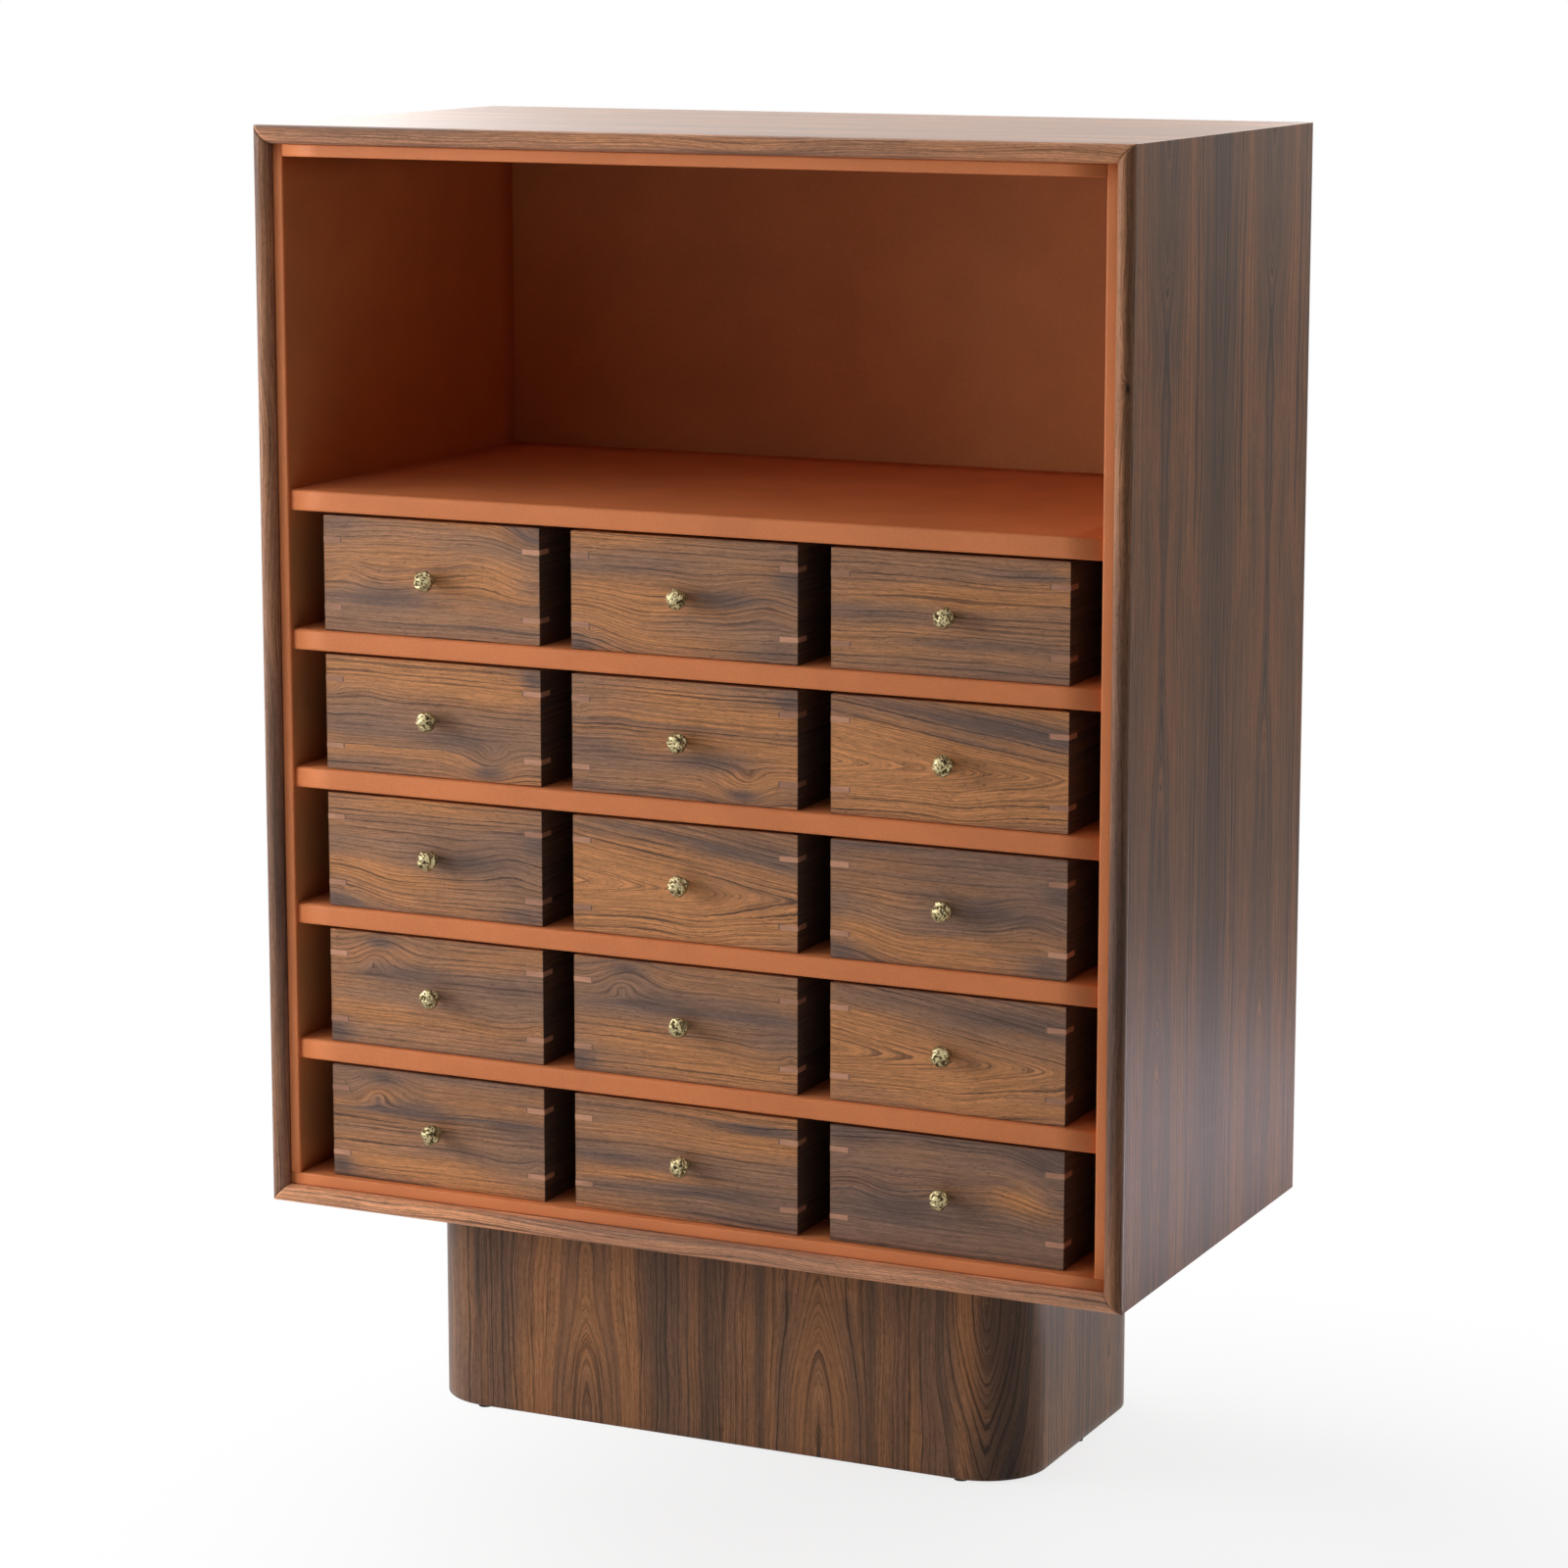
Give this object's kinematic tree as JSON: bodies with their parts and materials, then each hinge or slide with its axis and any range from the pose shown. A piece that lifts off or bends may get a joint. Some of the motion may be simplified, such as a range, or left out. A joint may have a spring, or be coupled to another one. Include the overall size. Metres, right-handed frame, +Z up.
{
  "type": "jewelry cabinet",
  "caption": "Open-fronted walnut cabinet on a rounded plinth, with a leather-lined display niche above rows of keyed drawers that slide out on leather-wrapped shelves.",
  "frame": {"origin": "on the floor below the middle of the whole cabinet, knobs included", "axes": "+X to the viewer's right along the front, +Y from the front to the rear, +Z up"},
  "size_m": [0.9, 0.4838, 1.27],
  "materials": {
    "walnut": "satin lacquered walnut, grain upright on the sides and plinth",
    "drawer_walnut": "satin walnut, flowing level grain with dark lines",
    "tan_leather": "smooth tan leather stretched over board, fine brushed grain",
    "key_wood": "pale pinkish hardwood keys, flush sanded",
    "cast_brass": "pale cast brass, lumpy and polished on the high points",
    "guide_wood": "plain waxed hardwood",
    "glide_plastic": "dark felt-faced plastic discs"
  },
  "bodies": {
    "cabinet": {"case_side_left": "walnut", "case_side_right": "walnut", "case_top": "walnut", "case_bottom": "walnut", "case_back": "walnut", "front_lipping": "walnut", "liner_sides": "tan_leather", "liner_top": "tan_leather", "liner_floor": "tan_leather", "liner_back": "tan_leather", "leather_shelves": "tan_leather", "drawer_guides": "guide_wood", "plinth_skirt": "walnut", "plinth_board": "guide_wood", "floor_glides": "glide_plastic"},
    "drawer_r1c1": {"drawer_r1c1_box": "drawer_walnut", "drawer_r1c1_keys": "key_wood", "drawer_r1c1_knob": "cast_brass"},
    "drawer_r1c2": {"drawer_r1c2_box": "drawer_walnut", "drawer_r1c2_keys": "key_wood", "drawer_r1c2_knob": "cast_brass"},
    "drawer_r1c3": {"drawer_r1c3_box": "drawer_walnut", "drawer_r1c3_keys": "key_wood", "drawer_r1c3_knob": "cast_brass"},
    "drawer_r2c1": {"drawer_r2c1_box": "drawer_walnut", "drawer_r2c1_keys": "key_wood", "drawer_r2c1_knob": "cast_brass"},
    "drawer_r2c2": {"drawer_r2c2_box": "drawer_walnut", "drawer_r2c2_keys": "key_wood", "drawer_r2c2_knob": "cast_brass"},
    "drawer_r2c3": {"drawer_r2c3_box": "drawer_walnut", "drawer_r2c3_keys": "key_wood", "drawer_r2c3_knob": "cast_brass"},
    "drawer_r3c1": {"drawer_r3c1_box": "drawer_walnut", "drawer_r3c1_keys": "key_wood", "drawer_r3c1_knob": "cast_brass"},
    "drawer_r3c2": {"drawer_r3c2_box": "drawer_walnut", "drawer_r3c2_keys": "key_wood", "drawer_r3c2_knob": "cast_brass"},
    "drawer_r3c3": {"drawer_r3c3_box": "drawer_walnut", "drawer_r3c3_keys": "key_wood", "drawer_r3c3_knob": "cast_brass"},
    "drawer_r4c1": {"drawer_r4c1_box": "drawer_walnut", "drawer_r4c1_keys": "key_wood", "drawer_r4c1_knob": "cast_brass"},
    "drawer_r4c2": {"drawer_r4c2_box": "drawer_walnut", "drawer_r4c2_keys": "key_wood", "drawer_r4c2_knob": "cast_brass"},
    "drawer_r4c3": {"drawer_r4c3_box": "drawer_walnut", "drawer_r4c3_keys": "key_wood", "drawer_r4c3_knob": "cast_brass"},
    "drawer_r5c1": {"drawer_r5c1_box": "drawer_walnut", "drawer_r5c1_keys": "key_wood", "drawer_r5c1_knob": "cast_brass"},
    "drawer_r5c2": {"drawer_r5c2_box": "drawer_walnut", "drawer_r5c2_keys": "key_wood", "drawer_r5c2_knob": "cast_brass"},
    "drawer_r5c3": {"drawer_r5c3_box": "drawer_walnut", "drawer_r5c3_keys": "key_wood", "drawer_r5c3_knob": "cast_brass"}
  },
  "joints": [
    {"name": "drawer_r1c1_slide", "type": "slide", "parent": "cabinet", "child": "drawer_r1c1", "axis": [0, -1, 0], "range_m": [0, 0.3]},
    {"name": "drawer_r1c2_slide", "type": "slide", "parent": "cabinet", "child": "drawer_r1c2", "axis": [0, -1, 0], "range_m": [0, 0.3]},
    {"name": "drawer_r1c3_slide", "type": "slide", "parent": "cabinet", "child": "drawer_r1c3", "axis": [0, -1, 0], "range_m": [0, 0.3]},
    {"name": "drawer_r2c1_slide", "type": "slide", "parent": "cabinet", "child": "drawer_r2c1", "axis": [0, -1, 0], "range_m": [0, 0.3]},
    {"name": "drawer_r2c2_slide", "type": "slide", "parent": "cabinet", "child": "drawer_r2c2", "axis": [0, -1, 0], "range_m": [0, 0.3]},
    {"name": "drawer_r2c3_slide", "type": "slide", "parent": "cabinet", "child": "drawer_r2c3", "axis": [0, -1, 0], "range_m": [0, 0.3]},
    {"name": "drawer_r3c1_slide", "type": "slide", "parent": "cabinet", "child": "drawer_r3c1", "axis": [0, -1, 0], "range_m": [0, 0.3]},
    {"name": "drawer_r3c2_slide", "type": "slide", "parent": "cabinet", "child": "drawer_r3c2", "axis": [0, -1, 0], "range_m": [0, 0.3]},
    {"name": "drawer_r3c3_slide", "type": "slide", "parent": "cabinet", "child": "drawer_r3c3", "axis": [0, -1, 0], "range_m": [0, 0.3]},
    {"name": "drawer_r4c1_slide", "type": "slide", "parent": "cabinet", "child": "drawer_r4c1", "axis": [0, -1, 0], "range_m": [0, 0.3]},
    {"name": "drawer_r4c2_slide", "type": "slide", "parent": "cabinet", "child": "drawer_r4c2", "axis": [0, -1, 0], "range_m": [0, 0.3]},
    {"name": "drawer_r4c3_slide", "type": "slide", "parent": "cabinet", "child": "drawer_r4c3", "axis": [0, -1, 0], "range_m": [0, 0.3]},
    {"name": "drawer_r5c1_slide", "type": "slide", "parent": "cabinet", "child": "drawer_r5c1", "axis": [0, -1, 0], "range_m": [0, 0.3]},
    {"name": "drawer_r5c2_slide", "type": "slide", "parent": "cabinet", "child": "drawer_r5c2", "axis": [0, -1, 0], "range_m": [0, 0.3]},
    {"name": "drawer_r5c3_slide", "type": "slide", "parent": "cabinet", "child": "drawer_r5c3", "axis": [0, -1, 0], "range_m": [0, 0.3]}
  ]
}
